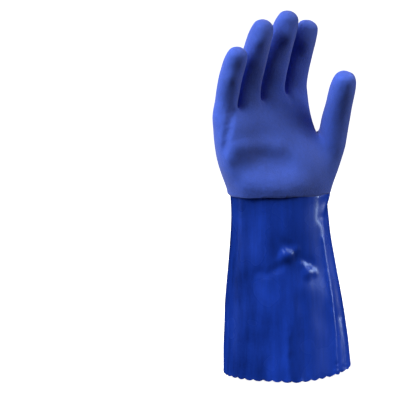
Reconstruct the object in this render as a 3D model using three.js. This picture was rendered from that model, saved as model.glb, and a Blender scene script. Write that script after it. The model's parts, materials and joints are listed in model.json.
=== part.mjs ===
// A right-hand work glove, dipped in soft PVC over a seamless knitted lining.
//
// The real glove is one seamless skin in two zones, and each zone is one hollow solid here:
//   hand      fingers, thumb and palm under the second, rough coat
//   gauntlet  the smooth first coat, from the edge of the second coat to the scalloped hem
//
// Frame: the gauntlet stands on +Z, and the origin is the middle of its open hem.
// The palm faces -Y, the thumb is on the +X side and the fingers point up.
// All lengths are millimetres and all angles are degrees.
//
// The skin is one coarse cage of four-sided faces, laid out like a hand: rings of 20 points up
// the sleeve and palm, then rings of 8 points up each finger and of 10 up the thumb. The cage is
// smoothed by Catmull-Clark subdivision, folds are pressed into it, and the inside is the same
// skin again, moved in by the wall.
import * as THREE from 'three';

// Driving sizes
const GAUNTLET_LENGTH = 151; // hem to the edge of the second coat
const PALM_LENGTH = 74; // edge of the second coat to the crotches of the fingers
const HEM_WIDTH = 111;
const HEM_DEPTH = 73;
const WRIST_WIDTH = 84;
const WRIST_DEPTH = 58;
const KNUCKLE_WIDTH = 92;
const KNUCKLE_DEPTH = 29;
const FINGER_LENGTH = 76; // the middle finger, crotch to tip
const FINGER_WIDTH = 22.6; // the middle finger
const THUMB_LENGTH = 79; // middle of the thumb's root to its tip
const THUMB_WIDTH = 22.5;
const LINED_WALL = 1.4; // the first coat with its lining
const SECOND_COAT = 0.6; // what the rough coat adds on the hand
const ZONE_GAP = 0.3; // between the two solids at the edge of the second coat
const SCALLOP_HEIGHT = 1.6; // of the hem, from the notches to the tips

// Rings of the gauntlet. up: share of its length. flare: 0 is the wrist's size, 1 the hem's.
// aside, ahead: place of the middle towards the thumb and the palm, shares of the wrist's size.
const GAUNTLET_ROWS = [
  { up: 0.0, flare: 1.0, aside: 0.0, ahead: 0.0 },
  { up: 0.06, flare: 0.99, aside: -0.005, ahead: 0.0 },
  { up: 0.2, flare: 0.9, aside: -0.016, ahead: -0.01 },
  { up: 0.36, flare: 0.73, aside: -0.032, ahead: -0.02 },
  { up: 0.53, flare: 0.48, aside: -0.05, ahead: -0.03 },
  { up: 0.71, flare: 0.18, aside: -0.07, ahead: -0.03 },
  { up: 0.87, flare: 0.01, aside: -0.08, ahead: -0.03 },
];

// Rings of the palm, the first on the edge of the second coat and the last through the crotches.
// up: share of the palm's length. broad, thin: 0 is the wrist's width and depth, 1 the knuckles'.
// turn: how far the section has turned, the thumb's side to the back. slant: rise of the thumb's
// side, share of the palm's length. fingered: 0 is an oval, 1 a section laid out for the fingers.
const PALM_ROWS = [
  { up: 0.0, broad: 0.2, thin: 0.03, aside: -0.087, ahead: -0.02, turn: 0, slant: 0.0, fingered: 0.0 },
  { up: 0.12, broad: 0.9, thin: 0.08, aside: -0.1, ahead: 0.0, turn: 0, slant: 0.01, fingered: 0.3 },
  { up: 0.37, broad: 1.1, thin: 0.3, aside: -0.165, ahead: 0.02, turn: 2, slant: 0.05, fingered: 0.6 },
  { up: 0.62, broad: 0.6, thin: 0.58, aside: -0.245, ahead: 0.0, turn: 9, slant: 0.06, fingered: 0.85 },
  { up: 0.83, broad: 0.55, thin: 0.76, aside: -0.275, ahead: -0.03, turn: 16, slant: 0.11, fingered: 1.0 },
  { up: 1.0, broad: 0.8, thin: 1.0, aside: -0.285, ahead: -0.04, turn: 17, slant: 0.13, fingered: 1.0 },
];
const PALM_SQUARENESS = 2.6; // 2 is an ellipse, more is squarer

// Where the points of a fingered section stand across the palm, from the little finger's side
// (-1) to the index finger's (1): they take turns under a finger and under a crotch.
const ACROSS_PALM = [-0.94, -0.79, -0.56, -0.31, -0.06, 0.21, 0.48, 0.75, 0.94];
const CROTCH_PINCH = 0.86; // depth of a crotch's ends, share of the palm's there
const CROTCH_LIFT = 0.035; // a crotch's middle over its ends, share of the palm's length

// Fingers, from the little one. length, width: shares of the middle finger's.
// splay, lean: to the thumb's side and to the palm's side, at the root and at the tip.
const FINGERS = [
  { length: 0.76, width: 0.87, splay: [-3, -3], lean: [12, 40] },
  { length: 0.98, width: 0.97, splay: [-1, 0], lean: [8, 36] },
  { length: 1.0, width: 1.0, splay: [1, 3.5], lean: [4, 34] },
  { length: 0.83, width: 0.98, splay: [2, 4], lean: [2, 32] },
];

// The thumb. aside, ahead: how far it starts outside the middle of its root, shares of its width.
const THUMB = { splay: [5, -3], lean: [18, 36], aside: 0.24, ahead: 0.12 };
const THUMB_COLUMNS = [8, 11]; // the palm's first and last point that the thumb grows from
const THUMB_ROW = 2; // the palm's row that runs into the middle of the thumb

// Rings of a finger and of the thumb. along: share of its length. broad, thick: its two widths,
// shares of the named width. tilt: how far a ring of the thumb still faces out from the palm.
const FINGER_RINGS = [
  { along: 0.13, broad: 0.95, thick: 0.99 },
  { along: 0.3, broad: 0.98, thick: 0.96 },
  { along: 0.48, broad: 1.0, thick: 0.97 },
  { along: 0.66, broad: 0.97, thick: 0.94 },
  { along: 0.83, broad: 0.92, thick: 0.87 },
  { along: 0.945, broad: 0.71, thick: 0.66 },
];
const THUMB_RINGS = [
  { along: 0.16, broad: 1.3, thick: 1.18, tilt: 38 },
  { along: 0.35, broad: 1.12, thick: 1.04, tilt: 18 },
  { along: 0.53, broad: 1.0, thick: 1.0, tilt: 4 },
  { along: 0.71, broad: 0.98, thick: 0.96, tilt: 0 },
  { along: 0.855, broad: 0.91, thick: 0.87, tilt: 0 },
  { along: 0.95, broad: 0.68, thick: 0.64, tilt: 0 },
];
const FOLD_FADE = 0.4; // share of a finger or the thumb over which the palm's folds run out

// Folds and dents. around: from the little finger's side (0) over the palm (90) and the thumb's
// side (180) to the back (270). up: 0 at the hem, 1 at the edge of the second coat, 2 at the
// crotches. wide, tall: reach, in the same terms. rise: out if over 0, share of the wrist's depth.
const FOLDS = [
  { around: 76, up: 1.5, wide: 30, tall: 0.26, rise: -0.07 }, // hollow of the palm
  { around: 138, up: 1.3, wide: 30, tall: 0.3, rise: 0.04 }, // ball of the thumb
  { around: 30, up: 1.4, wide: 22, tall: 0.3, rise: 0.03 }, // heel of the palm
  { around: 270, up: 1.75, wide: 50, tall: 0.2, rise: 0.02 }, // knuckles
  { around: 62, up: 0.14, wide: 13, tall: 0.4, rise: -0.03 }, // flutes of the lower sleeve
  { around: 90, up: 0.1, wide: 10, tall: 0.35, rise: 0.03 },
  { around: 116, up: 0.16, wide: 12, tall: 0.4, rise: -0.03 },
  { around: 150, up: 0.25, wide: 12, tall: 0.5, rise: 0.02 },
  { around: 205, up: 0.2, wide: 14, tall: 0.4, rise: -0.02 },
  { around: 250, up: 0.15, wide: 14, tall: 0.4, rise: 0.025 },
  { around: 300, up: 0.2, wide: 16, tall: 0.4, rise: -0.025 },
  { around: 87, up: 0.714, wide: 15, tall: 0.07, rise: -0.04 }, // dents over the forearm
  { around: 108, up: 0.6, wide: 15, tall: 0.06, rise: -0.035 },
  { around: 150, up: 0.94, wide: 20, tall: 0.05, rise: -0.035 }, // crease under the thumb
];

const COLUMNS = 20; // points in one ring of the sleeve or palm
const HALF_TURN = COLUMNS / 2;
const SETTLING_STEPS = 5; // rounds that bring the smoothed skin onto the rings' real sizes
const HEM_STEPS = 4; // straight steps in one scallop

const radians = THREE.MathUtils.degToRad;
const mix = THREE.MathUtils.lerp;

// A point of the cage is a list: its place, then its marks. The marks follow the skin through
// the smoothing: the direction around as a cosine and sine, the height, and how much of a fold
// is left there.
const cagePoint = (place, around, up) =>
  [place.x, place.y, place.z, Math.cos(radians(around)), Math.sin(radians(around)), up, 1];

const placeOf = (point) => new THREE.Vector3(point[0], point[1], point[2]);

// Sum of points, each times its weight.
function blend(points, weights) {
  return points[0].map((_, i) => points.reduce((sum, point, n) => sum + point[i] * weights[n], 0));
}

const mean = (points) => blend(points, points.map(() => 1 / points.length));

// Sizes of one section, worked out from its row of shares.
function gauntletSection(row) {
  return {
    halfWidth: mix(WRIST_WIDTH, HEM_WIDTH, row.flare) / 2,
    halfDepth: mix(WRIST_DEPTH, HEM_DEPTH, row.flare) / 2,
    middle: new THREE.Vector3(row.aside * WRIST_WIDTH, -row.ahead * WRIST_DEPTH, row.up * GAUNTLET_LENGTH),
    turn: 0,
    rise: 0,
    fingered: 0,
    level: row.up,
  };
}

function palmSection(row) {
  const height = GAUNTLET_LENGTH + row.up * PALM_LENGTH;
  return {
    halfWidth: mix(WRIST_WIDTH, KNUCKLE_WIDTH, row.broad) / 2,
    halfDepth: mix(WRIST_DEPTH, KNUCKLE_DEPTH, row.thin) / 2,
    middle: new THREE.Vector3(row.aside * WRIST_WIDTH, -row.ahead * WRIST_DEPTH, height),
    turn: row.turn,
    rise: row.slant * PALM_LENGTH,
    fingered: row.fingered,
    level: 1 + row.up,
  };
}

// A place in a section: across and deep are shares of its half width and half depth.
function placeIn(section, across, deep) {
  return new THREE.Vector3(across * section.halfWidth, -deep * section.halfDepth, across * section.rise)
    .applyAxisAngle(new THREE.Vector3(0, 0, 1), radians(section.turn))
    .add(section.middle);
}

// One ring of the sleeve or palm, from the little finger's side over the palm and round.
function ringOf(section) {
  return Array.from({ length: COLUMNS }, (_, column) => {
    const around = (360 * column) / COLUMNS;
    const oval = -Math.cos(radians(around));
    const step = column < HALF_TURN ? column - 1 : COLUMNS - 1 - column;
    const onSide = column % HALF_TURN === 0;
    const laid = onSide ? oval : ACROSS_PALM[step];
    const across = mix(oval, laid, section.fingered);
    const power = mix(2, PALM_SQUARENESS, section.fingered);
    const deep = onSide ? 0 : (1 - Math.abs(across) ** power) ** (1 / power);
    const side = column < HALF_TURN ? 1 : -1;
    return cagePoint(placeIn(section, across, side * deep), around, section.level);
  });
}

// Collects the cage: points by number, and faces as four point numbers with their zone.
const cage = { points: [], faces: [] };

function keepRing(ring) {
  return ring.map((point) => cage.points.push(point) - 1);
}

function joinRings(lower, upper, zone, skip = () => false) {
  lower.forEach((corner, i) => {
    const next = (i + 1) % lower.length;
    if (!skip(i)) cage.faces.push({ corners: [corner, lower[next], upper[next], upper[i]], zone });
  });
}

// A finger or the thumb: rings that grow from a closed ring of the cage and end in a round tip.
// It follows the root from the little finger's side over the palm. turn: which way it faces.
function addStall({ root, stall, rings, length, width, turn = 0, firstAngle = 0 }) {
  const { splay, lean, aside = 0, ahead = 0 } = stall;
  const side = new THREE.Vector3(Math.cos(radians(turn)), Math.sin(radians(turn)), 0);
  const front = new THREE.Vector3(Math.sin(radians(turn)), -Math.cos(radians(turn)), 0);
  const middle = placeOf(mean(root.map((number) => cage.points[number])))
    .addScaledVector(side, aside * width)
    .addScaledVector(front, ahead * width);
  const heading = (along) =>
    new THREE.Vector3(0, 0, 1)
      .addScaledVector(side, Math.tan(radians(mix(...splay, along))))
      .addScaledVector(front, Math.tan(radians(mix(...lean, along))))
      .normalize();
  let lower = root;
  let reached = 0;
  rings.forEach((row) => {
    middle.addScaledVector(heading((reached + row.along) / 2), (row.along - reached) * length);
    reached = row.along;
    const along = heading(row.along);
    const across = side.clone().addScaledVector(along, -side.dot(along)).normalize();
    const deep = across.clone().cross(along);
    across.applyAxisAngle(deep, -radians(row.tilt ?? 0));
    const upper = root.map((number, i) => {
      const angle = firstAngle + (2 * Math.PI * i) / root.length;
      const place = middle
        .clone()
        .addScaledVector(across, (-Math.cos(angle) * row.broad * width) / 2)
        .addScaledVector(deep, (Math.sin(angle) * row.thick * width) / 2);
      const [, , , cosine, sine, up] = cage.points[number];
      return [...place.toArray(), cosine, sine, up, Math.max(0, 1 - row.along / FOLD_FADE)];
    });
    const numbers = keepRing(upper);
    joinRings(lower, numbers, 'hand');
    lower = numbers;
  });
  const tip = middle.clone().addScaledVector(heading(1), (1 - reached) * length);
  const pole = cage.points.push([...tip.toArray(), 0, 0, 0, 0]) - 1;
  for (let i = 0; i < lower.length; i += 2) {
    const corners = [pole, lower[i], lower[i + 1], lower[(i + 2) % lower.length]];
    cage.faces.push({ corners, zone: 'hand' });
  }
}

// The middle of a crotch, between its front and back ends in the last palm ring.
function addCrotch(front, back) {
  const middle = mean([cage.points[front], cage.points[back]]);
  middle[2] += CROTCH_LIFT * PALM_LENGTH;
  return cage.points.push(middle) - 1;
}

// The whole cage of the glove.
function buildCage() {
  const sleeve = GAUNTLET_ROWS.map((row) => keepRing(ringOf(gauntletSection(row))));
  const palmSections = PALM_ROWS.map(palmSection);
  const palm = palmSections.map((section) => keepRing(ringOf(section)));
  for (let i = 1; i < sleeve.length; i += 1) joinRings(sleeve[i - 1], sleeve[i], 'gauntlet');
  joinRings(sleeve.at(-1), palm[0], 'gauntlet');
  const [first, last] = THUMB_COLUMNS;
  const underThumb = (row) => (column) =>
    (row === THUMB_ROW || row === THUMB_ROW + 1) && column >= first && column < last;
  for (let i = 1; i < palm.length; i += 1) joinRings(palm[i - 1], palm[i], 'hand', underThumb(i));

  const knuckles = palm.at(-1);
  const front = knuckles.slice(1, HALF_TURN);
  const back = knuckles.slice(HALF_TURN + 1).reverse();
  const knuckleSection = palmSections.at(-1);
  [2, 4, 6].forEach((i) => {
    [front[i], back[i]].forEach((number) => {
      const point = cage.points[number];
      const onMiddle = placeIn(knuckleSection, ACROSS_PALM[i], 0);
      const pinched = placeOf(point).sub(onMiddle).multiplyScalar(CROTCH_PINCH).add(onMiddle);
      [point[0], point[1], point[2]] = pinched.toArray();
    });
  });
  const crotches = [2, 4, 6].map((i) => addCrotch(front[i], back[i]));
  const sides = [knuckles[0], ...crotches, knuckles[HALF_TURN]];
  FINGERS.forEach((finger, n) => {
    const [from, to] = [2 * n, 2 * n + 3];
    addStall({
      root: [sides[n], ...front.slice(from, to), sides[n + 1], ...back.slice(from, to).reverse()],
      stall: finger,
      rings: FINGER_RINGS,
      length: finger.length * FINGER_LENGTH,
      width: finger.width * FINGER_WIDTH,
      turn: knuckleSection.turn,
    });
  });

  const [low, level, high] = [THUMB_ROW - 1, THUMB_ROW, THUMB_ROW + 1].map((row) => palm[row]);
  const upper = high.slice(first, last + 1).reverse();
  const lower = low.slice(first, last + 1);
  const root = [...upper.slice(-2), level[first], ...lower, level[last], ...upper.slice(0, -2)];
  addStall({
    root,
    stall: THUMB,
    rings: THUMB_RINGS,
    length: THUMB_LENGTH,
    width: THUMB_WIDTH,
    firstAngle: Math.PI / root.length,
  });
  return withoutLoosePoints(cage);
}

// The cage without the points that the thumb's root leaves with no face.
function withoutLoosePoints(mesh) {
  const used = [...new Set(mesh.faces.flatMap((face) => face.corners))].sort((a, b) => a - b);
  const renumbered = new Map(used.map((number, i) => [number, i]));
  const renumber = ({ corners, zone }) => ({ corners: corners.map((i) => renumbered.get(i)), zone });
  return { points: used.map((number) => mesh.points[number]), faces: mesh.faces.map(renumber) };
}

// What surrounds each point: its faces, its neighbours along edges, and those of them that lie
// along an open edge.
function surroundings(mesh) {
  const around = mesh.points.map(() => ({ faces: [], near: new Map(), far: [] }));
  mesh.faces.forEach((face, number) => {
    face.corners.forEach((corner, i) => {
      const next = face.corners[(i + 1) % 4];
      around[corner].faces.push(number);
      around[corner].far.push(face.corners[(i + 2) % 4]);
      [[corner, next], [next, corner]].forEach(([from, to]) => {
        around[from].near.set(to, [...(around[from].near.get(to) ?? []), number]);
      });
    });
  });
  around.forEach((entry) => {
    entry.open = [...entry.near].filter(([, faces]) => faces.length === 1).map(([number]) => number);
  });
  return around;
}

// Where each point of a cage ends up once it has been refined without end.
function limitPoints(mesh, around) {
  return mesh.points.map((point, number) => {
    const { near, far, open } = around[number];
    const [neighbours, diagonals] = [[...near.keys()], far].map((list) => list.map((i) => mesh.points[i]));
    if (open.length) {
      return blend([point, ...open.map((i) => mesh.points[i])], [4 / 6, 1 / 6, 1 / 6]);
    }
    const n = neighbours.length;
    const whole = n * (n + 5);
    const weights = [n * n, ...neighbours.map(() => 4), ...diagonals.map(() => 1)].map((w) => w / whole);
    return blend([point, ...neighbours, ...diagonals], weights);
  });
}

// Moves the cage until its smooth skin passes through the places that it was given. Points where
// more or fewer than four faces meet, as in a crotch, only come near them, which keeps it smooth.
function settle(mesh) {
  const wanted = mesh.points;
  const around = surroundings(mesh);
  let settled = mesh;
  for (let step = 0; step < SETTLING_STEPS; step += 1) {
    const reached = limitPoints(settled, around);
    const points = settled.points.map((point, i) =>
      around[i].near.size > 4 ? point : blend([point, wanted[i], reached[i]], [1, 1, -1]));
    settled = { points, faces: mesh.faces };
  }
  return settled;
}

// One Catmull-Clark step: each face becomes four.
function refine(mesh) {
  const around = surroundings(mesh);
  const centres = mesh.faces.map((face) => mean(face.corners.map((i) => mesh.points[i])));
  const points = mesh.points.map((point, number) => {
    const { faces, near, open } = around[number];
    if (open.length) return blend([point, ...open.map((i) => mesh.points[i])], [6 / 8, 1 / 8, 1 / 8]);
    const n = near.size;
    const edges = mean([...near.keys()].map((i) => mean([point, mesh.points[i]])));
    return blend([mean(faces.map((i) => centres[i])), edges, point], [1 / n, 2 / n, (n - 3) / n]);
  });
  const firstCentre = points.length;
  points.push(...centres);
  const halves = new Map();
  const halfway = (a, b) => {
    const key = Math.min(a, b) + '/' + Math.max(a, b);
    if (!halves.has(key)) {
      const faces = around[a].near.get(b);
      const ends = [mesh.points[a], mesh.points[b]];
      const sides = faces.length === 2 ? faces.map((i) => centres[i]) : [];
      halves.set(key, points.push(mean([...ends, ...sides])) - 1);
    }
    return halves.get(key);
  };
  const faces = mesh.faces.flatMap(({ corners, zone }, number) =>
    corners.map((corner, i) => {
      const before = halfway(corners[(i + 3) % 4], corner);
      const after = halfway(corner, corners[(i + 1) % 4]);
      return { corners: [corner, after, firstCentre + number, before], zone };
    }));
  return { points, faces };
}

// Directions out of the skin at each point.
function outwards(places, corners) {
  const normals = places.map(() => new THREE.Vector3());
  const cut = new THREE.Vector3();
  corners.forEach(([a, b, c, d]) => {
    cut.subVectors(places[c], places[a]).cross(new THREE.Vector3().subVectors(places[d], places[b]));
    [a, b, c, d].forEach((number) => normals[number].add(cut));
  });
  return normals.map((normal) => normal.normalize());
}

// How far the folds move a point of the skin out.
function foldRise([, , , cosine, sine, up, kept]) {
  const around = (THREE.MathUtils.radToDeg(Math.atan2(sine, cosine)) + 360) % 360;
  const rise = FOLDS.reduce((sum, fold) => {
    const turned = ((around - fold.around + 540) % 360) - 180;
    const reach = (turned / fold.wide) ** 2 + ((up - fold.up) / fold.tall) ** 2;
    return sum + fold.rise * Math.exp(-reach);
  }, 0);
  return rise * WRIST_DEPTH * THREE.MathUtils.clamp(kept, 0, 1);
}

// The finished outer skin: places, directions out, and faces.
function buildSkin() {
  const fine = refine(settle(buildCage()));
  const smooth = limitPoints(fine, surroundings(fine));
  const corners = fine.faces.map((face) => face.corners);
  const flat = smooth.map(placeOf);
  const out = outwards(flat, corners);
  const places = flat.map((place, i) => place.clone().addScaledVector(out[i], foldRise(smooth[i])));
  const open = surroundings(fine).map((entry) => entry.open.length > 0);
  places.forEach((place, i) => {
    if (open[i]) place.z = 0;
  });
  return { places, out: outwards(places, corners), faces: fine.faces, open };
}

// Triangles of one face. At the hem its open edge is cut into the steps of one scallop.
function trianglesOf(skin, corners) {
  const at = corners.findIndex((corner, i) => skin.open[corner] && skin.open[corners[(i + 1) % 4]]);
  const [a, b, c, d] = at < 0 ? corners : corners.map((_, i) => corners[(at + i) % 4]);
  if (at < 0) {
    const shorter = skin.places[a].distanceTo(skin.places[c]) < skin.places[b].distanceTo(skin.places[d]);
    return shorter ? [[a, b, c], [a, c, d]] : [[a, b, d], [b, c, d]];
  }
  const steps = [a];
  for (let i = 1; i < HEM_STEPS; i += 1) {
    const share = i / HEM_STEPS;
    steps.push(skin.places.push(skin.places[a].clone().lerp(skin.places[b], share)) - 1);
    skin.out.push(skin.out[a].clone().lerp(skin.out[b], share).normalize());
  }
  steps.push(b);
  const half = HEM_STEPS / 2;
  const fans = steps.slice(1).map((step, i) => [steps[i], step, i < half ? d : c]);
  steps.slice(0, -1).forEach((step, i) => {
    skin.places[step].z = SCALLOP_HEIGHT * (1 - Math.sin((Math.PI * i) / HEM_STEPS));
  });
  return [...fans, [steps[half], c, d]];
}

// A closed wall between two depths under the skin, over the triangles of one zone.
function wall(skin, triangles, outer, inner, shift) {
  const numbers = [...new Set(triangles.flat())];
  const local = new Map(numbers.map((number, i) => [number, i]));
  const positions = [outer, inner].flatMap((depth) =>
    numbers.flatMap((number) => {
      const place = skin.places[number].clone().addScaledVector(skin.out[number], -depth);
      place.z += shift(number);
      return place.toArray();
    }));
  const edges = new Set(triangles.flatMap(([a, b, c]) => [`${a}/${b}`, `${b}/${c}`, `${c}/${a}`]));
  const outside = (number) => local.get(number);
  const inside = (number) => local.get(number) + numbers.length;
  const faces = triangles.flatMap(([a, b, c]) => {
    const made = [[outside(a), outside(b), outside(c)], [inside(c), inside(b), inside(a)]];
    [[a, b], [b, c], [c, a]].forEach(([from, to]) => {
      if (edges.has(`${to}/${from}`)) return;
      made.push([outside(to), outside(from), inside(from)], [outside(to), inside(from), inside(to)]);
    });
    return made;
  });
  const geometry = new THREE.BufferGeometry();
  geometry.setAttribute('position', new THREE.Float32BufferAttribute(positions, 3));
  geometry.setIndex(faces.flat());
  geometry.computeVertexNormals();
  return geometry;
}

function zoneMesh(name, geometry, color, roughness) {
  const mesh = new THREE.Mesh(geometry, new THREE.MeshStandardMaterial({ color, roughness, metalness: 0 }));
  mesh.name = name;
  return mesh;
}

function buildGlove() {
  const skin = buildSkin();
  const triangles = { gauntlet: [], hand: [] };
  skin.faces.forEach(({ corners, zone }) => triangles[zone].push(...trianglesOf(skin, corners)));
  const inHand = new Set(triangles.hand.flat());
  const inGauntlet = new Set(triangles.gauntlet.flat());
  const halfGap = (number) => (inHand.has(number) && inGauntlet.has(number) ? ZONE_GAP / 2 : 0);
  const full = SECOND_COAT + LINED_WALL;
  const hand = wall(skin, triangles.hand, 0, full, halfGap);
  const gauntlet = wall(skin, triangles.gauntlet, SECOND_COAT, full, (number) => -halfGap(number));
  const glove = new THREE.Group();
  glove.add(zoneMesh('hand', hand, 0x2b50b4, 0.85), zoneMesh('gauntlet', gauntlet, 0x1433b8, 0.3));
  return glove;
}

export default buildGlove();
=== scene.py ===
"""A right-hand work glove dipped in soft PVC, standing on its open gauntlet in a plain studio.

The glove is one seamless skin with two coats, and is made here as two pieces:
the hand under the rough second coat, and the gauntlet that shows the smooth first coat.
Both start from a copy of their solid in the frame. Only the outer skin of the copy is kept: it is
made finer, its folds and creases are pressed in, and it gets its wall and its lining back at the end.
"""

import json
import math
from collections import Counter, namedtuple

import bpy
from bpy.props import FloatProperty, FloatVectorProperty, IntProperty, PointerProperty
from bpy.types import Operator, Panel, PropertyGroup
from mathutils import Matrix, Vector

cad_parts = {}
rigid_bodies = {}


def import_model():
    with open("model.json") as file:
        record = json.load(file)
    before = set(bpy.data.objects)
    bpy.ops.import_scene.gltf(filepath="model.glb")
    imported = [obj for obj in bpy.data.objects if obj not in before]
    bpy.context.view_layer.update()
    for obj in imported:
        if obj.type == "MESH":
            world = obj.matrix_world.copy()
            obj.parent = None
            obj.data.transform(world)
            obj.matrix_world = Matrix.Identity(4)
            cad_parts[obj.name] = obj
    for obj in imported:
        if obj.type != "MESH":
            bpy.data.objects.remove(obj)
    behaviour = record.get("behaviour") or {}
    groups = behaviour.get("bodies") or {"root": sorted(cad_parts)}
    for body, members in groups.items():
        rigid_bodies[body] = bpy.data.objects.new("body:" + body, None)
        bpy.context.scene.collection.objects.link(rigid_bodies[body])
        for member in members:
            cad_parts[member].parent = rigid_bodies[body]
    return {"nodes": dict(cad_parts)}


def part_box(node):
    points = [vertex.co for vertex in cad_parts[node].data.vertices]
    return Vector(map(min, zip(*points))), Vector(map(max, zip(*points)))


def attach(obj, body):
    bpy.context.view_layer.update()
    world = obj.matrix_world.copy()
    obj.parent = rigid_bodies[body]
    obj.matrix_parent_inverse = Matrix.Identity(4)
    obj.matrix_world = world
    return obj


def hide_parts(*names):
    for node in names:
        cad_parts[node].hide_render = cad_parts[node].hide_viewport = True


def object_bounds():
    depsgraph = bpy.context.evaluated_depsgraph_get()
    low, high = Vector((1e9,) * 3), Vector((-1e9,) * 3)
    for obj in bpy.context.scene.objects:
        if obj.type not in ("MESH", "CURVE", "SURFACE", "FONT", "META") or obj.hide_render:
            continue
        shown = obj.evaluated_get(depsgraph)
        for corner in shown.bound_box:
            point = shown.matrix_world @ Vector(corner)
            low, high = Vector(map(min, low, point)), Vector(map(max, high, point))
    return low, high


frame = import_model()
cad_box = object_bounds()

bl_info = {
    "name": "Coated Work Glove",
    "version": (1, 0, 0),
    "blender": (4, 5, 0),
    "location": "3D View > Sidebar > Glove",
    "description": "Builds a gauntlet work glove with a rough-coated hand and a smooth sleeve",
    "category": "Add Mesh",
}

HAND_LOW, HAND_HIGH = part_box("hand")
GAUNTLET_LOW, GAUNTLET_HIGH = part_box("gauntlet")
MM = 0.001

# The soft unevenness of each skin: the width of its swells
HAND_SWELLS = 22 * MM
SLEEVE_SWELLS = 30 * MM
# How far the second coat's edge turns in, as a share of its own width
EDGE_TURN_IN = 0.03
# How far the sleeve runs up inside the second coat
SLEEVE_RISE = 2 * MM
# Height of one row of the sleeve's vertices, as they are grouped to find a place on it
ROW_HEIGHT = 4 * MM
# How near the open edges the rims of a solid lie
RIM_REACH = 2.6 * MM

# A fold of the hand: a line of spots, each at a share of the hand's box across and up, on the palm
# or on the back. reach: how far the skin moves beside the line. rise: out if over 0.
HandFold = namedtuple("HandFold", "line side reach rise")
PALM, BACK = -1, 1
HAND_FOLDS = (
    # The hollow of the palm, the swell above it and the heel below it
    HandFold(((0.2, 0.17), (0.34, 0.185), (0.5, 0.175)), PALM, 13 * MM, -2.4 * MM),
    HandFold(((0.14, 0.27), (0.3, 0.285), (0.46, 0.27)), PALM, 9 * MM, 1.6 * MM),
    HandFold(((0.22, 0.04), (0.4, 0.05), (0.6, 0.07)), PALM, 13 * MM, 1.6 * MM),
    # The crease from the little finger's root down the edge of the hand
    HandFold(((0.12, 0.46), (0.085, 0.37), (0.065, 0.27)), PALM, 5 * MM, -1.7 * MM),
    HandFold(((0.09, 0.2),), PALM, 8 * MM, 0.9 * MM),
    # The pads of the fingertips, and the flatter lengths below them
    HandFold(((0.09, 0.64),), PALM, 10 * MM, 1.5 * MM),
    HandFold(((0.29, 0.83),), PALM, 12 * MM, 2.0 * MM),
    HandFold(((0.53, 0.85),), PALM, 12 * MM, 2.0 * MM),
    HandFold(((0.695, 0.82),), PALM, 12 * MM, 1.8 * MM),
    HandFold(((0.29, 0.66), (0.28, 0.58)), PALM, 12 * MM, -1.0 * MM),
    HandFold(((0.51, 0.7), (0.49, 0.6)), PALM, 12 * MM, -1.2 * MM),
    HandFold(((0.69, 0.69), (0.67, 0.59)), PALM, 12 * MM, -1.2 * MM),
    # The pad under the index finger, and the crease beside it
    HandFold(((0.55, 0.5),), PALM, 7 * MM, 1.0 * MM),
    HandFold(((0.57, 0.56), (0.61, 0.5)), PALM, 4 * MM, -0.8 * MM),
    # Knuckles on the back of the hand, and the dips between them
    HandFold(((0.1, 0.4),), BACK, 10 * MM, 1.0 * MM),
    HandFold(((0.27, 0.47),), BACK, 11 * MM, 1.4 * MM),
    HandFold(((0.45, 0.5),), BACK, 11 * MM, 1.6 * MM),
    HandFold(((0.62, 0.48),), BACK, 11 * MM, 1.4 * MM),
    HandFold(((0.19, 0.36), (0.19, 0.46)), BACK, 6 * MM, -0.8 * MM),
    HandFold(((0.36, 0.36), (0.36, 0.49)), BACK, 6 * MM, -0.9 * MM),
    HandFold(((0.54, 0.38), (0.54, 0.49)), BACK, 6 * MM, -0.8 * MM),
)

# A fold of the gauntlet: around in degrees from the little finger's side (0) over the palm (90) and
# the thumb's side (180) to the back (270), and up as a share of the gauntlet's height.
SleeveFold = namedtuple("SleeveFold", "line reach rise")
SLEEVE_FOLDS = (
    # Flutes that rise from the hem
    SleeveFold(((95, 0.0), (95, 0.2), (94, 0.45)), 8 * MM, -1.2 * MM),
    SleeveFold(((58, 0.0), (62, 0.3)), 9 * MM, -1.0 * MM),
    SleeveFold(((128, 0.0), (132, 0.37), (132, 0.82)), 7 * MM, 1.3 * MM),
    SleeveFold(((138, 0.0), (139, 0.35)), 5 * MM, -1.0 * MM),
    SleeveFold(((50, 0.2), (49, 0.45), (52, 0.6)), 9 * MM, -1.2 * MM),
    SleeveFold(((200, 0.0), (205, 0.4)), 9 * MM, 1.3 * MM),
    SleeveFold(((228, 0.0), (226, 0.5)), 9 * MM, -1.4 * MM),
    SleeveFold(((262, 0.0), (266, 0.55)), 9 * MM, 1.3 * MM),
    SleeveFold(((296, 0.0), (290, 0.4)), 8 * MM, -1.4 * MM),
    SleeveFold(((330, 0.0), (334, 0.5)), 9 * MM, 1.0 * MM),
    # The long dip on the little finger's side of the forearm
    SleeveFold(((40, 0.45), (43, 0.7), (44, 0.95)), 12 * MM, -1.1 * MM),
    # The fold that stands up from the hem in front
    SleeveFold(((80, 0.0), (79, 0.15), (80, 0.32)), 6 * MM, 1.2 * MM),
    # The crease under the thumb
    SleeveFold(((138, 0.9), (152, 0.95), (166, 0.985)), 5 * MM, 1.1 * MM),
    SleeveFold(((132, 0.86), (150, 0.9), (168, 0.94)), 5 * MM, -1.2 * MM),
    # Crumples at the back of the wrist
    SleeveFold(((248, 0.8), (264, 0.83), (280, 0.79)), 5 * MM, -1.2 * MM),
    SleeveFold(((250, 0.84), (266, 0.865), (282, 0.83)), 5 * MM, 0.9 * MM),
    SleeveFold(((286, 0.66), (300, 0.69)), 6 * MM, -1.1 * MM),
    SleeveFold(((222, 0.7), (236, 0.66)), 6 * MM, -1.0 * MM),
)

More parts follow.
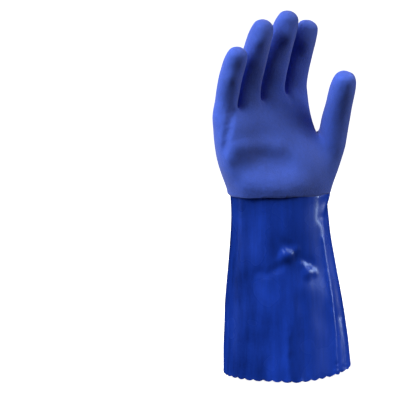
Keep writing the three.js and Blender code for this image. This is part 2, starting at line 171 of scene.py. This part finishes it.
# Small crumples of the gauntlet, pressed in last: two knots over the forearm with their arms, the
# hollow between them and the crease below them.
CRUMPLES = (
    SleeveFold(((80, 0.745), (88, 0.74)), 6 * MM, -0.6 * MM),
    SleeveFold(((83, 0.682),), 8 * MM, 2.8 * MM),
    SleeveFold(((75, 0.75), (80, 0.715)), 4 * MM, 0.6 * MM),
    SleeveFold(((89, 0.7), (95, 0.715)), 4 * MM, 0.7 * MM),
    SleeveFold(((73, 0.66), (79, 0.68)), 4 * MM, 0.5 * MM),
    SleeveFold(((104, 0.595),), 7 * MM, 1.6 * MM),
    SleeveFold(((97, 0.64), (102, 0.615)), 4 * MM, 0.6 * MM),
    SleeveFold(((109, 0.6), (114, 0.59)), 4 * MM, 0.8 * MM),
    SleeveFold(((94, 0.66), (100, 0.665)), 5 * MM, -0.4 * MM),
    SleeveFold(((105, 0.65), (111, 0.645)), 5 * MM, -0.5 * MM),
    SleeveFold(((52, 0.6), (62, 0.59), (75, 0.62)), 5 * MM, -0.8 * MM),
    # The narrow ridge down the thumb's side, and a shorter one beside it
    SleeveFold(((131, 0.76), (132, 0.5), (131, 0.3), (128, 0.03)), 3.5 * MM, 0.7 * MM),
    SleeveFold(((145, 0.3), (146, 0.04)), 4 * MM, 0.4 * MM),
    # The crest of the fold in front
    SleeveFold(((80, 0.26), (79, 0.15), (80, 0.02)), 3.5 * MM, 0.7 * MM),
)

# Lights of the studio: place and size in metres, power in watts. soft: it lights the matte surface.
# shine: it shows in the gloss. The strip and the edge light are short and stand level with the wrist,
# so that seen from behind they don't bleach the sleeve's outline.
Light = namedtuple("Light", "name place size power soft shine")
LIGHTS = (
    Light("key", (-1.3, -0.3, 1.0), (0.8, 0.8), 22.0, True, True),
    Light("top", (-0.6, -0.2, 1.5), (0.7, 0.7), 10.0, True, True),
    Light("fill", (1.0, -0.85, 1.2), (0.7, 0.7), 9.0, True, True),
    Light("left", (-1.35, 0.05, 0.1), (0.5, 0.7), 3.5, True, False),
    Light("sparkle", (-0.35, -1.2, 1.1), (0.6, 0.6), 6.0, False, True),
    Light("wrist", (1.12, -0.68, 0.38), (0.45, 0.3), 4.0, False, True),
    Light("strip", (1.22, -0.42, 0.12), (0.09, 0.38), 2.3, True, True),
    Light("edge", (1.3, 0.0, 0.14), (0.3, 0.25), 0.7, True, True),
    Light("back", (-0.35, 1.5, 0.8), (1.0, 1.0), 7.0, True, True),
)


class GloveShape(PropertyGroup):
    """Sizes of the glove's skin that can be changed by themselves."""

    hand_wall: FloatProperty(
        name="Hand wall", description="Both coats with the lining",
        default=2.0 * MM, min=1.0 * MM, max=4.0 * MM, precision=4, subtype="DISTANCE", unit="LENGTH",
    )
    gauntlet_wall: FloatProperty(
        name="Gauntlet wall", description="The first coat with the lining",
        default=1.5 * MM, min=0.8 * MM, max=3.0 * MM, precision=4, subtype="DISTANCE", unit="LENGTH",
    )
    coat_overlap: FloatProperty(
        name="Coat overlap", description="How far the second coat runs down over the gauntlet",
        default=1.0 * MM, min=0.5 * MM, max=5.0 * MM, precision=4, subtype="DISTANCE", unit="LENGTH",
    )
    edge_sway: FloatProperty(
        name="Edge sway", description="How far the second coat's edge wanders up and down",
        default=0.5 * MM, min=0.0, max=3.0 * MM, precision=4, subtype="DISTANCE", unit="LENGTH",
    )
    slack: FloatProperty(
        name="Slack", description="Height of the soft unevenness of the skin",
        default=0.9 * MM, min=0.0, max=4.0 * MM, precision=4, subtype="DISTANCE", unit="LENGTH",
    )
    edge_flare: FloatProperty(
        name="Edge flare", description="How far the second coat stands off beside the little finger",
        default=2.0 * MM, min=0.0, max=6.0 * MM, precision=4, subtype="DISTANCE", unit="LENGTH",
    )
    hem_lift: FloatProperty(
        name="Hem lift", description="How far the hem rises on the thumb's side",
        default=5.0 * MM, min=0.0, max=20.0 * MM, precision=4, subtype="DISTANCE", unit="LENGTH",
    )
    scallop_count: IntProperty(
        name="Scallops", description="Scallops around the hem", default=40, min=10, max=80,
    )
    scallop_height: FloatProperty(
        name="Scallop height", description="From the notches of the hem to the tips",
        default=1.6 * MM, min=0.2 * MM, max=5.0 * MM, precision=4, subtype="DISTANCE", unit="LENGTH",
    )


class GloveFinish(PropertyGroup):
    """Colours and grain of the coats and the lining."""

    rough_color: FloatVectorProperty(
        name="Rough coat", description="Colour of the second coat",
        default=(0.042, 0.108, 0.6), min=0.0, max=1.0, subtype="COLOR",
    )
    smooth_color: FloatVectorProperty(
        name="Smooth coat", description="Colour of the first coat",
        default=(0.0135, 0.061, 0.53), min=0.0, max=1.0, subtype="COLOR",
    )
    lining_color: FloatVectorProperty(
        name="Lining", description="Colour of the knitted lining",
        default=(0.72, 0.73, 0.7), min=0.0, max=1.0, subtype="COLOR",
    )
    grain: FloatProperty(
        name="Grain", description="Size of the rough coat's grains",
        default=0.7 * MM, min=0.1 * MM, max=3.0 * MM, precision=4, subtype="DISTANCE", unit="LENGTH",
    )
    wales: IntProperty(
        name="Wales", description="Columns of knitting around the glove", default=184, min=40, max=400,
    )


class GloveStudio(PropertyGroup):
    """Camera, floor and lights."""

    azimuth: FloatProperty(
        name="Azimuth", description="Where the camera stands, from straight in front of the palm",
        default=math.radians(-15), subtype="ANGLE", unit="ROTATION",
    )
    elevation: FloatProperty(
        name="Elevation", description="How high the camera stands",
        default=math.radians(7), subtype="ANGLE", unit="ROTATION",
    )
    distance: FloatProperty(
        name="Distance", description="From the camera to the point it looks at",
        default=1.0, min=0.3, max=5.0, subtype="DISTANCE", unit="LENGTH",
    )
    aim: FloatVectorProperty(
        name="Aim", description="The point that the camera looks at, in the middle of its picture",
        default=(-0.0662, 0.0359, 0.143), precision=4, subtype="XYZ", unit="LENGTH",
    )
    lens: FloatProperty(
        name="Lens", description="Focal length in millimetres on a 36 mm sensor",
        default=107.14, min=20.0, max=300.0,
    )
    floor_size: FloatProperty(
        name="Floor size", description="Width of the floor and of the wall behind it",
        default=6.0, min=2.0, max=20.0, subtype="DISTANCE", unit="LENGTH",
    )


# Selecting and editing

def deselect_all():
    if bpy.context.object and bpy.context.object.mode != "OBJECT":
        bpy.ops.object.mode_set(mode="OBJECT")
    bpy.ops.object.select_all(action="DESELECT")


def select_where(piece, kind, test):
    """Goes to edit mode with the vertices, edges or faces of the piece selected that pass the test."""
    bpy.ops.object.mode_set(mode="EDIT")
    bpy.ops.mesh.select_mode(type=kind)
    bpy.ops.mesh.select_all(action="DESELECT")
    bpy.ops.object.mode_set(mode="OBJECT")
    parts = {"VERT": piece.data.vertices, "EDGE": piece.data.edges, "FACE": piece.data.polygons}[kind]
    for part in parts:
        part.select = test(part)
    bpy.ops.object.mode_set(mode="EDIT")


def open_edge_test(piece, height, tolerance):
    """A test for edges that have one face only and lie near a height."""
    mesh = piece.data
    uses = Counter(key for polygon in mesh.polygons for key in polygon.edge_keys)

    def test(edge):
        ends = [mesh.vertices[i].co.z for i in edge.vertices]
        return uses[edge.key] == 1 and all(abs(z - height) < tolerance for z in ends)

    return test


def finish_modifier(piece, kind, **settings):
    """Adds a modifier to the piece and applies it."""
    deselect_all()
    piece.select_set(True)
    bpy.context.view_layer.objects.active = piece
    modifier = piece.modifiers.new(kind.title(), kind)
    for key, value in settings.items():
        setattr(modifier, key, value)
    bpy.ops.object.modifier_apply(modifier=modifier.name)


# Making the skin

def outer_skin(node, name):
    """The outer skin of a solid of the frame, as quads: a copy without its rims and inner side."""
    deselect_all()
    source = frame["nodes"][node]
    source.select_set(True)
    bpy.context.view_layer.objects.active = source
    bpy.ops.object.duplicate()
    piece = bpy.context.active_object
    piece.name = piece.data.name = name
    bpy.ops.object.parent_clear(type="CLEAR_KEEP_TRANSFORM")
    for key in list(piece.keys()):
        del piece[key]
    piece.data.materials.clear()
    bpy.ops.object.mode_set(mode="EDIT")
    bpy.ops.mesh.select_all(action="SELECT")
    bpy.ops.mesh.remove_doubles(threshold=0.002 * MM)
    bpy.ops.object.mode_set(mode="OBJECT")

    heights = [vertex.co.z for vertex in piece.data.vertices]
    low, high = min(heights), max(heights)
    top_is_open = node == "gauntlet"

    def on_rim(face):
        if face.center.z < low + RIM_REACH:
            return face.normal.z < (-0.35 if top_is_open else -0.85)
        return top_is_open and face.center.z > high - RIM_REACH and face.normal.z > 0.6

    select_where(piece, "FACE", on_rim)
    bpy.ops.mesh.delete(type="FACE")
    bpy.ops.object.mode_set(mode="OBJECT")
    edge_of_box = min(piece.data.vertices, key=lambda vertex: vertex.co.x).index
    select_where(piece, "VERT", lambda vertex: vertex.index == edge_of_box)
    bpy.ops.mesh.select_linked()
    bpy.ops.mesh.select_all(action="INVERT")
    bpy.ops.mesh.delete(type="VERT")
    bpy.ops.mesh.select_all(action="SELECT")
    bpy.ops.mesh.tris_convert_to_quads(face_threshold=math.radians(60), shape_threshold=math.radians(70))
    bpy.ops.object.mode_set(mode="OBJECT")
    return piece


def soften(piece, rounds, test=None):
    """Smooths the piece a little, all over or where the test passes."""
    select_where(piece, "VERT", test or (lambda vertex: True))
    bpy.ops.mesh.vertices_smooth(factor=0.5, repeat=rounds, wait_for_input=False)
    bpy.ops.object.mode_set(mode="OBJECT")


def push(piece, spots, reach, rise):
    """Moves the skin out along its own direction at the spots, fading out over the reach."""
    chosen = set(spots)
    out = sum((piece.data.vertices[i].normal for i in chosen), Vector()).normalized()
    select_where(piece, "VERT", lambda vertex: vertex.index in chosen)
    bpy.ops.transform.translate(
        value=out * rise, orient_type="GLOBAL", use_proportional_edit=True,
        proportional_edit_falloff="SMOOTH", proportional_size=reach,
    )
    bpy.ops.object.mode_set(mode="OBJECT")


def along(line, steps):
    """Spots along a line of spots, evenly between each two."""
    if len(line) == 1:
        return list(line)
    spots = []
    for start, end in zip(line, line[1:]):
        for step in range(steps):
            share = step / steps
            spots.append(tuple(a + (b - a) * share for a, b in zip(start, end)))
    return [*spots, line[-1]]


def hand_spot(piece, across, up, side):
    """The vertex of the hand's palm or back side at a share of its box."""
    x = HAND_LOW.x + (HAND_HIGH.x - HAND_LOW.x) * across
    z = HAND_LOW.z + (HAND_HIGH.z - HAND_LOW.z) * up
    facing = [vertex for vertex in piece.data.vertices if vertex.normal.y * side > 0.1]
    return min(facing, key=lambda vertex: math.hypot(vertex.co.x - x, vertex.co.z - z)).index


def sleeve_rows(piece):
    """The gauntlet's vertices by height: each row with its middle and its half sizes."""
    rows = {}
    for vertex in piece.data.vertices:
        rows.setdefault(round(vertex.co.z / ROW_HEIGHT), []).append(vertex)
    measured = {}
    for key, vertices in rows.items():
        xs = [vertex.co.x for vertex in vertices]
        ys = [vertex.co.y for vertex in vertices]
        middle = Vector(((min(xs) + max(xs)) / 2, (min(ys) + max(ys)) / 2))
        half = Vector(((max(xs) - min(xs)) / 2, (max(ys) - min(ys)) / 2))
        measured[key] = (vertices, middle, half)
    return measured


def sleeve_spot(rows, around, up):
    """The vertex of the gauntlet at an angle and a share of its height."""
    z = GAUNTLET_LOW.z + (GAUNTLET_HIGH.z - GAUNTLET_LOW.z) * up
    key = min(rows, key=lambda row: abs(row * ROW_HEIGHT - z))
    vertices, middle, half = rows[key]
    angle = math.radians(around)
    x = middle.x - math.cos(angle) * half.x
    y = middle.y - math.sin(angle) * half.y
    return min(vertices, key=lambda vertex: (vertex.co - Vector((x, y, z))).length).index


def add_slack(piece, name, size, height):
    """Gives the skin a soft unevenness."""
    texture = bpy.data.textures.new(name, "CLOUDS")
    texture.noise_scale = size
    texture.noise_depth = 1
    finish_modifier(piece, "DISPLACE", texture=texture, strength=height, mid_level=0.5)
    bpy.data.textures.remove(texture)


def run_edge_down(piece, height, drop, inward):
    """Runs the open edge at a height straight down, and a little towards the inside."""
    select_where(piece, "EDGE", open_edge_test(piece, height, 3 * MM))
    bpy.ops.mesh.extrude_edges_move(TRANSFORM_OT_translate={"value": (0, 0, -drop)})
    middle = sum((vertex.co for vertex in piece.data.vertices), Vector()) / len(piece.data.vertices)
    bpy.ops.transform.resize(value=(1 - inward, 1 - inward, 1), center_override=middle)
    bpy.ops.object.mode_set(mode="OBJECT")


def give_wall(piece, wall, coat, lining):
    """Turns the skin into a wall with the lining inside, and finishes its surface."""
    piece.data.materials.append(coat)
    piece.data.materials.append(lining)
    finish_modifier(
        piece, "SOLIDIFY", thickness=wall, offset=-1.0, use_rim=True, material_offset=1,
        material_offset_rim=0, use_quality_normals=True,
    )
    deselect_all()
    piece.select_set(True)
    bpy.context.view_layer.objects.active = piece
    bpy.ops.object.shade_smooth_by_angle(angle=math.radians(50))


def stand_in(piece, node):
    """Puts the piece in the place of its solid."""
    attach(piece, "root")
    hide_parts(node)


# Materials

def start_material(name):
    """An empty material with its shader and output, and the coordinates that its patterns use."""
    material = bpy.data.materials.new(name)
    material.use_nodes = True
    tree = material.node_tree
    tree.nodes.clear()
    shader = tree.nodes.new("ShaderNodeBsdfPrincipled")
    output = tree.nodes.new("ShaderNodeOutputMaterial")
    tree.links.new(shader.outputs["BSDF"], output.inputs["Surface"])
    place = tree.nodes.new("ShaderNodeTexCoord").outputs["Object"]
    return material, tree, shader, place


def wire(tree, value, socket):
    """Sets a socket to a value, or links it to another socket."""
    if isinstance(value, bpy.types.NodeSocket):
        tree.links.new(value, socket)
    elif value is not None:
        socket.default_value = value


def math_node(tree, operation, first, second=None, third=None):
    made = tree.nodes.new("ShaderNodeMath")
    made.operation = operation
    for value, socket in zip((first, second, third), made.inputs):
        wire(tree, value, socket)
    return made.outputs[0]


def noise(tree, place, scale, detail=2.0, roughness=0.5):
    made = tree.nodes.new("ShaderNodeTexNoise")
    wire(tree, place, made.inputs["Vector"])
    for key, value in (("Scale", scale), ("Detail", detail), ("Roughness", roughness)):
        made.inputs[key].default_value = value
    return made.outputs[0]


def stretched(tree, place, scale):
    """Coordinates scaled along each axis, for a pattern that is longer one way."""
    made = tree.nodes.new("ShaderNodeMapping")
    wire(tree, place, made.inputs["Vector"])
    made.inputs["Scale"].default_value = scale
    return made.outputs[0]


def spread(tree, value, low, high, to_low, to_high):
    """Maps a value from one range to another, and stops at its ends."""
    made = tree.nodes.new("ShaderNodeMapRange")
    ends = (("From Min", low), ("From Max", high), ("To Min", to_low), ("To Max", to_high))
    for key, given in (("Value", value), *ends):
        wire(tree, given, made.inputs[key])
    return made.outputs[0]


def tinted(tree, color, share, amount):
    """The colour made lighter where the share is over a half and darker where it is under."""
    factor = spread(tree, share, 0.0, 1.0, 1 - 1.7 * amount, 1 + 1.7 * amount)
    made = tree.nodes.new("ShaderNodeVectorMath")
    made.operation = "SCALE"
    made.inputs[0].default_value = color
    wire(tree, factor, made.inputs["Scale"])
    return made.outputs[0]


def bump(tree, height, depth, strength=1.0):
    """A bumped normal; depth is the height in metres that a value of 1 stands for."""
    made = tree.nodes.new("ShaderNodeBump")
    made.inputs["Strength"].default_value = strength
    made.inputs["Distance"].default_value = depth
    wire(tree, height, made.inputs["Height"])
    return made.outputs[0]


def knit(tree, place, wales):
    """Columns of knitting around the upright axis: 0 between two columns, 1 on a column."""
    axes = tree.nodes.new("ShaderNodeSeparateXYZ")
    wire(tree, place, axes.inputs[0])
    angle = math_node(tree, "ARCTAN2", axes.outputs["Y"], axes.outputs["X"])
    turned = math_node(tree, "MULTIPLY", angle, float(wales))
    sway = math_node(tree, "MULTIPLY", noise(tree, place, 160.0, 2.0), 2.2)
    wave = math_node(tree, "SINE", math_node(tree, "ADD", turned, sway))
    return math_node(tree, "MULTIPLY_ADD", wave, 0.5, 0.5)


def rough_coat(finish):
    """The second coat: matte, with a fine sandy grain, and painted light that makes it lighter towards both
    sides of the hand.
    """
    material, tree, shader, place = start_material("rough_coat")
    grains = noise(tree, place, 0.9 / finish.grain, 3.0, 0.65)
    clumps = noise(tree, place, 0.28 / finish.grain, 3.0, 0.6)
    clouds = noise(tree, place, 38.0, 3.0, 0.55)
    mixed = math_node(tree, "MULTIPLY_ADD", clumps, 0.35, math_node(tree, "MULTIPLY", clouds, 0.4))
    mixed = math_node(tree, "MULTIPLY_ADD", grains, 0.25, mixed)
    axes = tree.nodes.new("ShaderNodeSeparateXYZ")
    wire(tree, place, axes.inputs[0])
    # Painted light: the colour is lightened towards the little finger's side and towards the thumb's side,
    # standing in for light falling on the sides of the hand.
    painted_light_little_finger_side = spread(tree, axes.outputs["X"], -68 * MM, -40 * MM, 0.2, 0.0)
    mixed = math_node(tree, "ADD", mixed, painted_light_little_finger_side)
    painted_light_thumb_side = spread(tree, axes.outputs["X"], 12 * MM, 36 * MM, 0.0, 0.25)
    mixed = math_node(tree, "ADD", mixed, painted_light_thumb_side)
    wire(tree, tinted(tree, finish.rough_color, mixed, 0.3), shader.inputs["Base Color"])
    wire(tree, spread(tree, grains, 0.3, 0.7, 0.86, 0.68), shader.inputs["Roughness"])
    height = math_node(tree, "MULTIPLY_ADD", clumps, 0.8, grains)
    wire(tree, bump(tree, height, 0.4 * MM, 0.9), shader.inputs["Normal"])
    shader.inputs["Sheen Weight"].default_value = 0.28
    shader.inputs["Sheen Roughness"].default_value = 0.5
    shader.inputs["Specular IOR Level"].default_value = 0.35
    return material


def smooth_coat(finish):
    """The first coat: glossy and cloudy, with painted shade on the little finger's side and painted light on
    the thumb's side, and the wales faintly through it.
    """
    material, tree, shader, place = start_material("smooth_coat")
    clouds = noise(tree, place, 26.0, 2.0, 0.5)
    streaks = noise(tree, stretched(tree, place, (1.0, 1.0, 0.1)), 210.0, 3.0, 0.6)
    specks = noise(tree, place, 520.0, 2.0, 0.6)
    mixed = math_node(tree, "MULTIPLY_ADD", streaks, 0.35, math_node(tree, "MULTIPLY", clouds, 0.55))
    mixed = math_node(tree, "MULTIPLY_ADD", specks, 0.1, mixed)
    axes = tree.nodes.new("ShaderNodeSeparateXYZ")
    wire(tree, place, axes.inputs[0])
    # Painted shade and light: this ramp, held as thickness, darkens the colour towards the little finger's
    # side and lightens it towards the thumb's side, where the lamps fall.
    thickness = spread(tree, axes.outputs["X"], -45 * MM, 25 * MM, -0.2, 0.34)
    mixed = math_node(tree, "ADD", mixed, thickness)
    hem_to_wrist = spread(tree, axes.outputs["Z"], 10 * MM, 120 * MM, 0.04, -0.08)
    mixed = math_node(tree, "ADD", mixed, hem_to_wrist)
    wire(tree, tinted(tree, finish.smooth_color, mixed, 0.55), shader.inputs["Base Color"])
    wire(tree, spread(tree, clouds, 0.0, 1.0, 0.1, 0.42), shader.inputs["Roughness"])
    ripples = noise(tree, stretched(tree, place, (1.0, 1.0, 0.3)), 120.0, 1.0, 0.5)
    columns = noise(tree, stretched(tree, place, (1.0, 1.0, 0.02)), 300.0, 1.0, 0.5)
    height = math_node(tree, "MULTIPLY_ADD", columns, 0.2, ripples)
    wire(tree, bump(tree, height, 0.5 * MM, 0.5), shader.inputs["Normal"])
    shader.inputs["Specular IOR Level"].default_value = 0.6
    shader.inputs["Specular Tint"].default_value = (0.48, 0.7, 1.0, 1.0)
    return material


def lining_knit(finish):
    """The inside: a plain knit in soft undyed yarn."""
    material, tree, shader, place = start_material("lining_knit")
    columns = knit(tree, place, finish.wales)
    axes = tree.nodes.new("ShaderNodeSeparateXYZ")
    wire(tree, place, axes.inputs[0])
    rows = math_node(tree, "SINE", math_node(tree, "MULTIPLY", axes.outputs["Z"], 2 * math.pi / (0.9 * MM)))
    loops = math_node(tree, "MULTIPLY", columns, math_node(tree, "MULTIPLY_ADD", rows, 0.35, 0.65))
    wire(tree, tinted(tree, finish.lining_color, loops, 0.12), shader.inputs["Base Color"])
    wire(tree, bump(tree, loops, 0.3 * MM, 0.8), shader.inputs["Normal"])
    shader.inputs["Roughness"].default_value = 0.95
    shader.inputs["Sheen Weight"].default_value = 0.2
    return material


def shared_lining(finish):
    """The lining's material, made once for both pieces."""
    return bpy.data.materials.get("lining_knit") or lining_knit(finish)


def plain_paper():
    """The floor and the wall behind it."""
    material, tree, shader, place = start_material("plain_paper")
    wire(tree, tinted(tree, (0.9, 0.9, 0.9), noise(tree, place, 3.0), 0.01), shader.inputs["Base Color"])
    shader.inputs["Roughness"].default_value = 0.9
    shader.inputs["Emission Color"].default_value = (1, 1, 1, 1)
    shader.inputs["Emission Strength"].default_value = 1.0
    return material


# Operators

class GLOVE_OT_hand(Operator):
    """Fingers, thumb and palm under the rough coat"""

    bl_idname = "glove.hand"
    bl_label = "Hand"

    def execute(self, context):
        shape = context.scene.glove_shape
        finish = context.scene.glove_finish
        piece = outer_skin("hand", "hand_skin")
        finish_modifier(piece, "SUBSURF", levels=2, render_levels=2, boundary_smooth="ALL")
        soften(piece, 4)
        add_slack(piece, "hand_slack", HAND_SWELLS, shape.slack)
        for fold in HAND_FOLDS:
            spots = [hand_spot(piece, across, up, fold.side) for across, up in along(fold.line, 8)]
            push(piece, spots, fold.reach, fold.rise)
        soften(piece, 2)
        self.flare_edge(piece, shape)
        run_edge_down(piece, HAND_LOW.z, shape.coat_overlap, EDGE_TURN_IN)
        for vertex in piece.data.vertices:
            if vertex.co.z < HAND_LOW.z:
                angle = math.atan2(vertex.co.y, vertex.co.x)
                sway = math.sin(3 * angle + 0.6) + 0.6 * math.sin(7 * angle) + 0.4 * math.sin(13 * angle + 1)
                vertex.co.z += shape.edge_sway * (sway - 1) / 2
        give_wall(piece, shape.hand_wall, rough_coat(finish), shared_lining(finish))
        stand_in(piece, "hand")
        return {"FINISHED"}

    @staticmethod
    def flare_edge(piece, shape):
        """Lets the hand come down to its edge without drawing in, most on the little finger's side."""
        reach = 14 * MM
        edge = [vertex for vertex in piece.data.vertices if vertex.co.z < HAND_LOW.z + reach]
        low, high = min(vertex.co.x for vertex in edge), max(vertex.co.x for vertex in edge)
        for vertex in edge:
            share = 1 - (vertex.co.z - HAND_LOW.z) / reach
            beside = (high - vertex.co.x) / (high - low)
            out = Vector((vertex.co.x, vertex.co.y, 0)).normalized()
            vertex.co += out * shape.edge_flare * share ** 2 * beside ** 2


class GLOVE_OT_gauntlet(Operator):
    """The smooth sleeve from the second coat's edge to the scalloped hem"""

    bl_idname = "glove.gauntlet"
    bl_label = "Gauntlet"

    def execute(self, context):
        shape = context.scene.glove_shape
        finish = context.scene.glove_finish
        piece = outer_skin("gauntlet", "gauntlet_skin")
        for vertex in piece.data.vertices:
            if vertex.co.z < GAUNTLET_LOW.z + 2 * shape.scallop_height:
                vertex.co.z = GAUNTLET_LOW.z
        finish_modifier(piece, "SUBSURF", levels=2, render_levels=2, boundary_smooth="ALL")
        soften(piece, 3)
        add_slack(piece, "sleeve_slack", SLEEVE_SWELLS, shape.slack)
        self.fold(piece, SLEEVE_FOLDS)
        soften(piece, 3)
        self.raise_top(piece)
        finish_modifier(piece, "SUBSURF", levels=1, render_levels=1, boundary_smooth="ALL")
        self.fold(piece, CRUMPLES)
        soften(piece, 2)
        self.cut_scallops(piece, shape)
        self.lift_hem(piece, shape)
        give_wall(piece, shape.gauntlet_wall, smooth_coat(finish), shared_lining(finish))
        stand_in(piece, "gauntlet")
        return {"FINISHED"}

    @staticmethod
    def fold(piece, folds):
        """Presses folds into the sleeve, all at the places that they have before the first one."""
        rows = sleeve_rows(piece)
        spots_of = [[sleeve_spot(rows, around, up) for around, up in along(fold.line, 10)] for fold in folds]
        for fold, spots in zip(folds, spots_of):
            push(piece, spots, fold.reach, fold.rise)

    @staticmethod
    def raise_top(piece):
        """Runs the sleeve up inside the second coat."""
        select_where(piece, "EDGE", open_edge_test(piece, GAUNTLET_HIGH.z, 3 * MM))
        bpy.ops.mesh.extrude_edges_move(TRANSFORM_OT_translate={"value": (0, 0, SLEEVE_RISE)})
        bpy.ops.object.mode_set(mode="OBJECT")

    @staticmethod
    def cut_scallops(piece, shape):
        """Cuts the hem into round scallops with sharp notches between them."""
        reach = 5 * shape.scallop_height
        wide = (GAUNTLET_HIGH.x - GAUNTLET_LOW.x) / (GAUNTLET_HIGH.y - GAUNTLET_LOW.y)
        for vertex in piece.data.vertices:
            height = vertex.co.z - GAUNTLET_LOW.z
            if height < reach:
                angle = math.atan2(vertex.co.y * wide, vertex.co.x)
                bulge = abs(math.sin(shape.scallop_count / 2 * angle))
                vertex.co.z += shape.scallop_height * (1 - bulge) * (1 - height / reach)

    @staticmethod
    def lift_hem(piece, shape):
        """Raises the hem on the thumb's side, and a little on the other, from its front and back."""
        reach = 8 * shape.hem_lift
        for vertex in piece.data.vertices:
            height = vertex.co.z - GAUNTLET_LOW.z
            if height < reach:
                share = vertex.co.x / GAUNTLET_HIGH.x
                vertex.co.z += shape.hem_lift * (0.65 + 0.35 * share) * share ** 2 * (1 - height / reach)


class GLOVE_OT_stage(Operator):
    """Floor, wall, lights and camera"""

    bl_idname = "glove.stage"
    bl_label = "Studio"

    def execute(self, context):
        studio = context.scene.glove_studio
        self.add_floor(studio)
        self.add_lights()
        self.add_camera(context.scene, studio)
        context.scene.view_settings.view_transform = "Standard"
        return {"FINISHED"}

    @staticmethod
    def add_floor(studio):
        deselect_all()
        size = studio.floor_size
        turn = studio.azimuth
        bpy.ops.mesh.primitive_plane_add(size=size, location=(0, 0, GAUNTLET_LOW.z - 0.3 * MM))
        floor = bpy.context.active_object
        floor.name = "floor"
        select_where(floor, "EDGE", lambda edge: all(floor.data.vertices[i].co.y > 0 for i in edge.vertices))
        bpy.ops.mesh.extrude_edges_move(TRANSFORM_OT_translate={"value": (0, 0, size / 2)})
        corner = size / 2 - 0.01
        select_where(
            floor, "EDGE",
            lambda edge: all(floor.data.vertices[i].co.y > corner and floor.data.vertices[i].co.z < 0.01
                             for i in edge.vertices),
        )
        bpy.ops.mesh.bevel(offset=size / 6, segments=16, affect="EDGES")
        bpy.ops.object.mode_set(mode="OBJECT")
        bpy.ops.object.shade_smooth()
        floor.rotation_euler.z = turn
        floor.data.materials.append(plain_paper())
        floor.visible_diffuse = floor.visible_glossy = floor.visible_shadow = False

    @staticmethod
    def add_lights():
        middle = (cad_box[0] + cad_box[1]) / 2
        for name, place, size, power, soft, shine in LIGHTS:
            deselect_all()
            turn = (middle - Vector(place)).to_track_quat("-Z", "Y").to_euler()
            bpy.ops.object.light_add(type="AREA", location=place, rotation=turn)
            light = bpy.context.active_object
            light.name = light.data.name = name + "_light"
            light.data.shape = "RECTANGLE"
            light.data.size, light.data.size_y = size
            light.data.energy = power
            light.visible_diffuse = soft
            light.visible_glossy = shine
        world = bpy.data.worlds.new("studio_air")
        world.use_nodes = True
        background = world.node_tree.nodes["Background"]
        background.inputs["Color"].default_value = (1, 1, 1, 1)
        background.inputs["Strength"].default_value = 1.0
        world.cycles_visibility.diffuse = world.cycles_visibility.glossy = False
        bpy.context.scene.world = world

    @staticmethod
    def add_camera(scene, studio):
        flat = math.cos(studio.elevation)
        high = math.sin(studio.elevation)
        back = Vector((math.sin(studio.azimuth) * flat, -math.cos(studio.azimuth) * flat, high))
        aim = Vector(studio.aim)
        deselect_all()
        turn = (-back).to_track_quat("-Z", "Y").to_euler()
        bpy.ops.object.camera_add(location=aim + back * studio.distance, rotation=turn)
        camera = bpy.context.active_object
        camera.data.lens = studio.lens
        camera.data.clip_start = 0.01
        scene.camera = camera


class GLOVE_PT_builder(Panel):
    """Lists what can be built, and its sizes and colours"""

    bl_idname = "GLOVE_PT_builder"
    bl_label = "Coated Work Glove"
    bl_space_type = "VIEW_3D"
    bl_region_type = "UI"
    bl_category = "Glove"

    def draw(self, context):
        layout = self.layout
        for operator in OPERATORS:
            layout.operator(operator.bl_idname)
        for settings in (context.scene.glove_shape, context.scene.glove_finish, context.scene.glove_studio):
            column = layout.column(align=True)
            for name in settings.bl_rna.properties.keys():
                if name not in ("rna_type", "name"):
                    column.prop(settings, name)


OPERATORS = (GLOVE_OT_hand, GLOVE_OT_gauntlet, GLOVE_OT_stage)
CLASSES = (GloveShape, GloveFinish, GloveStudio, *OPERATORS, GLOVE_PT_builder)


def register():
    for cls in CLASSES:
        bpy.utils.register_class(cls)
    bpy.types.Scene.glove_shape = PointerProperty(type=GloveShape)
    bpy.types.Scene.glove_finish = PointerProperty(type=GloveFinish)
    bpy.types.Scene.glove_studio = PointerProperty(type=GloveStudio)


def unregister():
    del bpy.types.Scene.glove_studio
    del bpy.types.Scene.glove_finish
    del bpy.types.Scene.glove_shape
    for cls in reversed(CLASSES):
        bpy.utils.unregister_class(cls)


def main():
    register()
    bpy.ops.glove.hand()
    bpy.ops.glove.gauntlet()
    bpy.ops.glove.stage()


if __name__ == "__main__":
    main()
